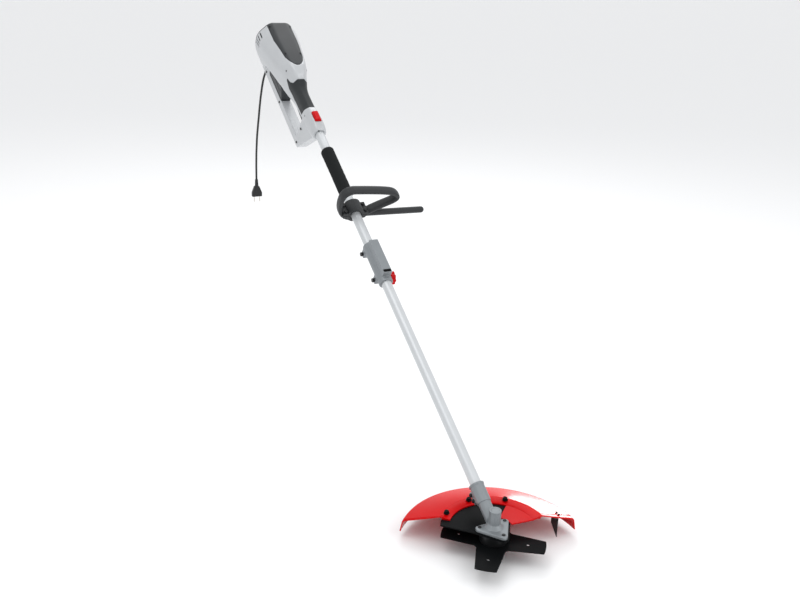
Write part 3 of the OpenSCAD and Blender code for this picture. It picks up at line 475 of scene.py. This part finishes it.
def settle(obj, name, material, body, stands_for, place=ON_SHAFT, corner=None):
    """Puts a finished solid in its place, in metres, with its finish, and lets it ride."""
    bm = bmesh.new()
    bm.from_mesh(obj.data)
    bmesh.ops.transform(bm, matrix=place, verts=bm.verts)
    for face in bm.faces:
        face.smooth = True
    if corner:
        for edge in bm.edges:
            edge.smooth = not (edge.is_manifold and edge.calc_face_angle(0) > math.radians(corner))
    mesh = bpy.data.meshes.new(name)
    bm.to_mesh(mesh)
    bm.free()
    mesh.materials.append(material)
    obj.data = mesh
    obj.name = name
    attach(obj, body)
    if stands_for:
        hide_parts(*stands_for)
    print(name, len(mesh.polygons), "faces")
    return obj


# %% [markdown]
# ## The motor housing's form
# The housing swells over the motor and narrows to the grip. Its sections are
# set at some stations along the shaft. Between them each measure follows a
# smooth curve that never overshoots, so the plastic flows without ripples.

# %% Stations of the housing
#            x,  top, its half width, shoulder z, y, lower shoulder z, y, bottom z, y
STATIONS = [(-287, 47, 27, 8, 60, -40, 58, -104, 24), (-281, 51, 31, 11, 64, -40, 61, -108, 27),
            (-267, 51.5, 31, 12, 65, -42, 58, -107, 28), (-235, 52, 31, 12, 64, -50, 52, -74, 34),
            (-195, 53, 31, 13, 59, -46, 46, -62, 32), (-145, 53.5, 29, 16, 50, -42, 37, -56, 28),
            (-92, 53, 23, 18, 38, -38, 28, -51, 22), (-72, 49, 17, 16, 31.5, -39, 23, -51, 18),
            (-56, 42, 13, 12, 28, -35, 22, -48, 16), (-42, 29, 11, 9, 24.5, -31, 20, -46, 14),
            (-25, 22, 10, 6, 21, -25, 18.5, -43, 13), (0, 20, 9, 5, 19, -21, 18, -41, 11),
            (45, 21, 9, 6, 19, -20, 18, -39, 11), (80, 25, 11, 8, 21, -16, 20, -34, 12),
            (118, 26, 13, 10, 22, -12, 21, -29, 14), (142, 22, 12, 9, 21, -9, 21, -22, 13),
            (151, 18, 9, 6, 19, -7, 19, -19, 9)]


def flow(column, x):
    """One measure of the housing at x: cubic between stations, with no overshoot."""
    xs = [s[0] for s in STATIONS]
    ys = [s[column] for s in STATIONS]
    last = len(xs) - 1
    i = max(k for k in range(last) if xs[k] <= x)
    slopes = [(ys[k + 1] - ys[k]) / (xs[k + 1] - xs[k]) for k in range(last)]

    def lean(k):
        if k in (0, last):
            return slopes[min(k, last - 1)]
        a, b = slopes[k - 1], slopes[k]
        return 2 * a * b / (a + b) if a * b > 0 else 0

    h = xs[i + 1] - xs[i]
    t = (x - xs[i]) / h
    return (ys[i] * (1 + 2 * t) * (1 - t) ** 2 + h * lean(i) * t * (1 - t) ** 2
            + ys[i + 1] * t * t * (3 - 2 * t) - h * lean(i + 1) * t * t * (1 - t))


def section(x, inset):
    """Points round the housing at x, with its corners rounded by short curves."""
    top, tw, sz, sy, lz, ly, bz, by = (flow(c, x) for c in range(1, 9))
    corners = [(0, top - inset), (tw - 0.4 * inset, top - inset), (sy - inset, sz),
               (ly - inset, lz), (by - 0.4 * inset, bz + inset), (0, bz + inset)]
    half = [corners[0]]
    for a, b, c in zip(corners, corners[1:], corners[2:]):
        p = [b[k] + 0.36 * (a[k] - b[k]) for k in (0, 1)]
        q = [b[k] + 0.36 * (c[k] - b[k]) for k in (0, 1)]
        for t in (0, 0.17, 0.34, 0.5, 0.66, 0.83, 1):
            half.append([(1 - t) ** 2 * p[k] + 2 * t * (1 - t) * b[k] + t * t * q[k]
                         for k in (0, 1)])
    half.append(corners[-1])
    return [(x, y, z) for y, z in half] + [(x, -y, z) for y, z in half[-2:0:-1]]


def housing_form(inset):
    """The whole outer form, shrunk by inset."""
    start, end = STATIONS[0][0] + inset, STATIONS[-1][0] - inset
    steps = 92
    return loft([section(start + (end - start) * k / steps, inset) for k in range(steps + 1)])


# %% [markdown]
# ## The handle under the housing
# The rear handle is a closed loop of plastic, so a falling tool doesn't tear
# it open. It is drawn as one outline in the side view.

# %% Outlines seen from the side and from above
def handle_outline(i):
    """The rear handle and its opening, drawn in by i."""
    return [(147 - i, -12), (75 - 1.3 * i, -118), (66 - i, -131 + i), (-298, -131 + i),
            (-305 + i, -125), (-305 + i, -100), (-281 + i, -50), (-235 - i, -50),
            (-235 - i, -107 - i), (43 + i, -107 - i), (52 + i, -25), (111, -12)]


def cover_area(g):
    """The space of the dark cover over the motor."""
    right_side = [(-288, -37 - g), (-207, -37 - g), (-125, -28 - g), (-105, -21 - g),
                  (-92, -12 - g), (-87 + g, -4)]
    outline = right_side + [(x, -y) for x, y in reversed(right_side)]
    lid = prism([(x, y, 0) for x, y in outline], (0, 0, 12 - g), (0, 0, 102 - g))
    return carve(lid, block((-288, -90, -24 - g), (-280.5 + g, 90, 101)), how="UNION")


def grip_area(g):
    """The space of the rubber skin on the grip."""
    return side_prism([(-46 - g, 60), (-48 - g, 18 + g), (-58 - g, 12 + g), (-76 - g, 12 + g),
                       (-74 - g, 4), (-58, -12 - g), (-20, -22 - g), (46 + g, -20 - g),
                       (62 + g, 24), (66 + g, 60)], -60, 60)


# %% [markdown]
# ## Housing shells
# The full form and the handle are joined, then the room inside, the recesses
# for the cover and the rubber, and the openings for the tube, the trigger, the
# button and the cooling air are cut. Melting the whole on an even mesh softens
# its edges. It is then cut at the middle into two halves, a hair apart.

# %% Cut the housing
BAR_HALF, BAR_WALL, ROOM_INSET = 16, 2.6, 4.7
RECESS_GAP, RECESS_DEPTH = 0.35, 2.4
TUBE_BORE = 13.1
shell = carve(housing_form(0), side_prism(handle_outline(0), -BAR_HALF, BAR_HALF), how="UNION")
room = carve(housing_form(ROOM_INSET),
             side_prism(handle_outline(BAR_WALL), BAR_WALL - BAR_HALF, BAR_HALF - BAR_WALL),
             how="UNION")
recess = carve(cover_area(RECESS_GAP), grip_area(RECESS_GAP), how="UNION")
recess = carve(recess, housing_form(RECESS_DEPTH))
vents = [block((-276, side * 58 - 14, -17 + 11 * i), (-251, side * 58 + 14, -12 + 11 * i))
         for side in (-1, 1) for i in range(4)]
trigger_slot = block((-42, -8, -62), (47, 8, -28))
button_slot = block((85.7, -9.3, 13), (123.3, 9.3, 60))
shell = carve(shell, room, recess, bar((-70, 0, 0), (160, 0, 0), TUBE_BORE), trigger_slot,
              button_slot, *vents)
print("housing solid:", len(shell.data.polygons), "faces")

# %% Vent space under the motor
VENT_SIDE = [(-238, -110), (-113, -110), (-106, -48), (-238, -64)]


def vent_space(g):
    """The space of the air grille: its side outline, narrower below."""
    outline = [(x + (g if x > -200 else -g), z - (g if z < -100 else 0)) for x, z in VENT_SIDE]
    along = side_prism(outline, -30, 30)
    across = prism([(0, -29 - g, -44), (0, -13 - g, -111), (0, 13 + g, -111), (0, 29 + g, -44)],
                   (-245, 0, 0), (-45, 0, 0))
    return carve(along, across, how="INTERSECT")


shell = melt(carve(shell, vent_space(0.3)), 1.5)
PARTING = 0.08


def half(whole, side):
    """The left (1) or right (-1) half of a solid, its cut walls filled."""
    bm = bmesh.new()
    bm.from_mesh(whole.data)
    cut = bmesh.ops.bisect_plane(bm, geom=bm.verts[:] + bm.edges[:] + bm.faces[:], dist=1e-5,
                                 plane_co=(0, side * PARTING, 0), plane_no=(0, -side, 0),
                                 clear_outer=True)
    rim = [g for g in cut["geom_cut"] if isinstance(g, bmesh.types.BMEdge)]
    bmesh.ops.triangle_fill(bm, use_beauty=True, use_dissolve=False, edges=rim)
    print("half", side, "open edges:", sum(e.is_boundary for e in bm.edges))
    return keep(bm)


for side, word in ((-1, "right"), (1, "left")):
    settle(half(shell, side), f"{word}_shell", silver_plastic, "power_unit", [f"housing_{word}"],
           corner=50)
bpy.data.objects.remove(shell)

# %% [markdown]
# ## Cover and rubber skin
# Both follow the same form as the housing, so they are cut from it: what lies
# inside their space, less the form shrunk by their thickness.

# %% Cover and rubber
SKIN = 2.05
cover = carve(carve(housing_form(0), cover_area(0), how="INTERSECT"), housing_form(SKIN))
settle(melt(cover, 1.0), "motor_cover", cover_plastic, "power_unit", ["top_cover"])
rubber = carve(carve(housing_form(0), grip_area(0), how="INTERSECT"), housing_form(SKIN))
settle(melt(rubber, 0.9), "grip_skin", grip_rubber, "power_unit", ["grip_overmold"])

# %% [markdown]
# ## Moulded parts with soft edges
# Some parts already have the right form and only need the rounded edges of a
# moulding or a casting. A copy of the part is merged, melted on an even mesh
# and relaxed, which turns every edge and inner corner into a small fillet.


# %% Soften a copy
def soften(name, new_name, material, body, voxel, rounds=5):
    """A softened copy of a part, in metres, that stands for it."""
    bm = bmesh.new()
    bm.from_mesh(nodes[name].data)
    bmesh.ops.remove_doubles(bm, verts=bm.verts, dist=1e-5)
    mesh = bpy.data.meshes.new(new_name)
    bm.to_mesh(mesh)
    bm.free()
    copy = bpy.data.objects.new(new_name, mesh)
    bpy.context.scene.collection.objects.link(copy)
    melt(copy, voxel / 1000, rounds)
    return settle(copy, new_name, material, body, [name], place=Matrix.Identity(4))


soften("vent_grille", "air_grille", cover_plastic, "power_unit", 0.9, 3)
soften("coupler_body", "coupler_case", cast_metal, "power_unit", 0.9, 5)
soften("coupler_knob", "clamp_knob", red_plastic, "knob", 0.6, 6)
soften("loop_handle", "front_loop", handle_plastic, "front_handle", 1.2, 8)
soften("lock_button", "lock_off_button", red_plastic, "lock", 0.5, 8)
soften("trigger", "finger_trigger", grip_rubber, "trigger", 0.7, 8)
plug = soften("plug_body", "moulded_plug", lead_rubber, "power_unit", 0.55, 8)

# %% [markdown]
# ## The guard
# The guard is a thin moulding turned round the blade's axis for about 140
# degrees: a flat seat, a raised ridge, a wide slope and a short skirt. Spinning
# one section with small steps gives a true round surface. The flat inner plate
# at its right end is a prism, joined to it and softened with a fine bevel.


# %% Guard
def spun(section_points, start, span, steps):
    """A closed section (r, z) swept round the vertical axis, with its ends filled."""
    bm = bmesh.new()
    turn = Matrix.Rotation(math.radians(start), 4, "Z")
    face = bm.faces.new([bm.verts.new(turn @ Vector((r, 0, z))) for r, z in section_points])
    bmesh.ops.spin(bm, geom=[face] + face.edges[:] + face.verts[:], axis=(0, 0, 1),
                   cent=(0, 0, 0), angle=math.radians(span), steps=steps, use_duplicate=False)
    bmesh.ops.holes_fill(bm, edges=[e for e in bm.edges if e.is_boundary], sides=0)
    return keep(bm)


def edged(obj, width):
    """A bevel on the sharp edges, kept in the mesh."""
    soft = obj.modifiers.new("edges", "BEVEL")
    soft.width = width
    soft.segments = 3
    soft.limit_method = "ANGLE"
    soft.angle_limit = math.radians(30)
    return applied(obj)


GUARD_LOW = -9.95
GUARD = [(98, GUARD_LOW), (98, -7), (119, -3), (122, -3.4), (160, -15.9), (200, -28.7),
         (204.5, -30.6), (207, -34), (209.5, -46), (212, -60), (209.4, -60), (206.8, -46),
         (204.4, -35.4), (202.4, -32.9), (199, -31.4), (159, -18.6), (121, -6.2), (117, -6.1),
         (117, GUARD_LOW)]
guard = spun(GUARD, 86, 141.5, 110)
SEAT_ANGLES = [85.2, 93, 102, 112, 122, 131.5]
SEAT = [(r * math.cos(math.radians(a)), r * math.sin(math.radians(a)), 0)
        for r, angles in ((99.5, SEAT_ANGLES), (44, SEAT_ANGLES[::-1])) for a in angles]
guard = carve(guard, prism(SEAT, (0, 0, GUARD_LOW), (0, 0, GUARD_LOW + 2.6)), how="UNION")
for angle in (90, 226):
    at = Matrix.Rotation(math.radians(angle), 4, "Z")
    a, b = (at @ Vector(p) for p in ((118, 0, -3.4), (205, 0, -31)))
    guard = carve(guard, bar(a, b, 1.5, sides=16), how="UNION")
settle(edged(guard, 0.5), "red_guard", guard_red, "lower_shaft", ["guard"], place=ON_HEAD,
       corner=28)

# %% [markdown]
# ## The gear head
# The gear head is a casting: a clamp sleeve on the tube, a slim neck, an upright
# boss with shallow flutes, and a three-cornered flange. The parts are joined as
# solids and melted together, which gives the small fillets of a sand casting.

# %% Gear head
SLEEVE_BOLTS = (1280, 1294)
EAR_Y, EAR_Z = 11, -21
ears = [bar((x, -EAR_Y, EAR_Z), (x, EAR_Y, EAR_Z), 6.2, sides=32) for x in SLEEVE_BOLTS]
head = carve(bar((1268, 0, 0), (1311, 0, 0), 16.5), bar((1308, 0, 0), (1364, 0, 0), 14.4),
             block((1272, -9.5, -28), (1302, 9.5, -12)), bar((1266, 0, 0), (1271, 0, 0), 17.8),
             *ears, how="UNION")
to_head = Matrix.Translation(-HEAD * 1000) @ Matrix.Rotation(SHAFT_ANGLE, 4, "Y")
head.data.transform(to_head)
CORNERS = [(38, 0), (-8, 32), (-8, -32)]
CORNER_R = 9
flange = []
for x, y in CORNERS:
    for step in range(-5, 6):
        out = math.atan2(y, x) + math.radians(12 * step)
        flange.append((x + CORNER_R * math.cos(out), y + CORNER_R * math.sin(out), 0))
head = carve(head, bar((0, 0, -6), (0, 0, 38), 13.5), prism(flange, (0, 0, -10), (0, 0, -3)),
             bar((0, 0, -4), (0, 0, 5), 21, 13.6), bar((0, 0, -24), (0, 0, -4), 15),
             *[bar((x, y, -9), (x, y, -1.8), 6) for x, y in CORNERS], how="UNION")
FLUTE_AT = 15.1
grooves = []
for k in [*range(5), *range(8, 12)]:
    x, y = (FLUTE_AT * f(math.radians(30 * k)) for f in (math.cos, math.sin))
    grooves.append(bar((x, y, 4), (x, y, 35), 2.6, sides=24))
head = carve(head, *grooves, bar((0, 0, -26), (0, 0, -5), 12.05),
             bar((0, 0, 36.6), (0, 0, 42), 9.5))
settle(melt(head, 0.8, 4), "gear_case", cast_metal, "lower_shaft", ["gear_housing"], place=ON_HEAD)


# %% Screw heads
def screw(spot, up, r, tall, name, body="power_unit", place=ON_SHAFT):
    """A domed dark screw head with a cross recess, its axis along up."""
    up = Vector(up).normalized()
    turn = up.to_track_quat("Z", "Y").to_matrix().to_4x4()
    bm = bmesh.new()
    bmesh.ops.create_cone(bm, cap_ends=True, segments=32, radius1=r, radius2=r, depth=tall,
                          matrix=Matrix.Translation((0, 0, tall / 2)))
    rim = [e for e in bm.edges if all(v.co.z > tall * 0.9 for v in e.verts)]
    bmesh.ops.bevel(bm, geom=rim, offset=tall * 0.45, offset_type="OFFSET", segments=4, profile=0.5,
                    affect="EDGES", material=-1)
    long, thin, floor_z = r * 0.55, r * 0.16, tall * 0.45
    domed = carve(keep(bm), block((-long, -thin, floor_z), (long, thin, tall * 2)),
                  block((-thin, -long, floor_z), (thin, long, tall * 2)))
    settle(domed, name, black_steel, body, [], place=place @ Matrix.Translation(spot) @ turn,
           corner=35)


SIDES = ((-1, "R"), (1, "L"))
for k, (x, y) in enumerate(CORNERS):
    screw((x, y, -2.9), (0, 0, 1), 4.1, 3.1, f"flange_screw_{k + 1}", "lower_shaft", ON_HEAD)
for k, x in enumerate(SLEEVE_BOLTS):
    for side, mark in SIDES:
        screw((x, side * EAR_Y, EAR_Z), (0, side, 0), 4.4, 4, f"sleeve_screw_{k + 1}_{mark}",
              "lower_shaft")

# %% [markdown]
# ## The foam sleeve
# A foam tube is pushed over the tube behind the front handle. It is a soft
# round sleeve with slightly rolled ends. Rings along the shaft follow its
# profile, each a little stirred, and the finish's deep grain gives the cells.

# %% Foam sleeve
RING_SIDES = 72


def circle_x(x, r, rough=0.0):
    """A ring round the shaft at x, its radius stirred a little."""
    points = []
    for k in range(RING_SIDES):
        a = 2 * math.pi * k / RING_SIDES
        stir = rough * noise.noise(Vector((x * 0.11, 2 * math.cos(a), 2 * math.sin(a))))
        points.append((x, (r + stir) * math.cos(a), (r + stir) * math.sin(a)))
    return points


FOAM_START, FOAM_END, FOAM_R, FOAM_BORE = 217, 388, 18.6, 13.1
ROLL = [(0, 13.2), (0.1, 15.5), (0.7, 17.3), (2, 18.3)]
STEPS = 61
profile = [(FOAM_START + x, r) for x, r in ROLL] + [(221, FOAM_R)]
profile += [(221 + 2.7 * k, FOAM_R - 0.35 * math.sin(math.pi * k / STEPS)) for k in range(1, STEPS)]
profile += [(384, FOAM_R)] + [(FOAM_END - x, r) for x, r in ROLL[::-1]]
sleeve = loft([circle_x(x, r, rough=0.35 if 220 < x < 385 else 0.0) for x, r in profile]
              + [circle_x(x, FOAM_BORE) for x in (FOAM_END, 330, 274, FOAM_START)], closed=True)
settle(sleeve, "foam_grip", foam, "power_unit", ["foam_sleeve"], corner=70)

# %% [markdown]
# ## Small screws of the housing
# Dark screws sit at the surface: two on each side of the cover, two on each
# flank, those that close the handle and one in the nose. Each is the same short
# cylinder with a bevelled rim and a cross cut, turned square to its surface.

# %% Housing screws
#               place on the left side, its outward direction, radius
SHELL_SCREWS = [((-267.6, 32.9, 47.9), (-0.02, 0.57, 0.82), 2.9),
                ((-137.4, 23.6, 53.4), (0.02, 0.34, 0.94), 2.9),
                ((-88.2, 31.2, 28.8), (0.28, 0.91, 0.31), 2.4),
                ((73, 19.4, 0.5), (-0.07, 1.0, 0.0), 2.2)]
HANDLE_SCREWS = [(62, -60), (56, -119), (-120, -119), (-260, -119)]
for side, mark in SIDES:
    for k, ((x, y, z), (out_x, out_y, out_z), r) in enumerate(SHELL_SCREWS):
        screw((x, side * y, z), (out_x, side * out_y, out_z), r, 1.3, f"cover_screw_{k + 1}_{mark}")
for k, (x, z) in enumerate(HANDLE_SCREWS):
    screw((x, 0.1 - BAR_HALF, z), (0, -1, 0), 3.4, 1.8, f"handle_screw_{k + 1}")
screw((150.2, -5.9, 14.5), (1, 0, 0.1), 2.2, 1.4, "nose_screw")

# %% [markdown]
# ## Floor and light
# A pale floor, a bright room and four soft lights: a wide key from the upper
# left, a fill, a light from behind, and a low one that lies as a pale stripe
# on the guard. That one is linked to the guard alone.

# %% Floor
lowest = cad_box[0][2]
bm = bmesh.new()
bmesh.ops.create_grid(bm, x_segments=2, y_segments=2, size=60,
                      matrix=Matrix.Translation((0.6, 0, lowest - 0.004)))
floor = keep(bm)
floor.name = "floor"
paint = bpy.data.materials.new("pale_floor")
paint.use_nodes = True
surface = paint.node_tree.nodes["Principled BSDF"]
surface.inputs["Base Color"].default_value = (0.95, 0.955, 0.96, 1)
surface.inputs["Roughness"].default_value = 0.8
floor.data.materials.append(paint)


# %% Lights
def soft_light(name, spot, aim, size, power, tall=None):
    """An area light at spot, turned to aim, that the camera doesn't see."""
    data = bpy.data.lights.new(name, "AREA")
    data.energy = power
    data.shape = "RECTANGLE"
    data.size = size
    data.size_y = tall or size
    lamp = bpy.data.objects.new(name, data)
    lamp.location = spot
    lamp.rotation_euler = (Vector(aim) - Vector(spot)).to_track_quat("-Z", "Y").to_euler()
    lamp.visible_camera = False
    bpy.context.scene.collection.objects.link(lamp)
    return lamp


soft_light("key", (0.9, -1.6, 3.0), (0.5, 0, -0.3), 2.4, 24)
soft_light("fill", (2.9, 1.6, 1.6), (0.6, 0, -0.3), 2.0, 22)
soft_light("back", (-1.6, 1.0, 2.2), (0.3, 0, -0.2), 1.8, 28)
stripe = soft_light("guard_stripe", (-0.22, 1.46, -0.45), (1.08, 0.15, -0.78), 0.62, 34, tall=0.75)
lit_by_stripe = bpy.data.collections.new("lit_by_stripe")
lit_by_stripe.objects.link(bpy.data.objects["red_guard"])
stripe.light_linking.receiver_collection = lit_by_stripe

# %% Room light
world = bpy.data.worlds.new("room_light")
world.use_nodes = True
tree = world.node_tree
air = tree.nodes["Background"]
air.inputs["Color"].default_value = (0.985, 0.99, 1.0, 1)
ray = tree.nodes.new("ShaderNodeLightPath")
bright = tree.nodes.new("ShaderNodeMapRange")
bright.inputs["To Min"].default_value = 0.88
bright.inputs["To Max"].default_value = 1.0
tree.links.new(ray.outputs["Is Camera Ray"], bright.inputs["Value"])
tree.links.new(bright.outputs["Result"], air.inputs["Strength"])
bpy.context.scene.world = world
bpy.context.scene.view_settings.view_transform = "Standard"
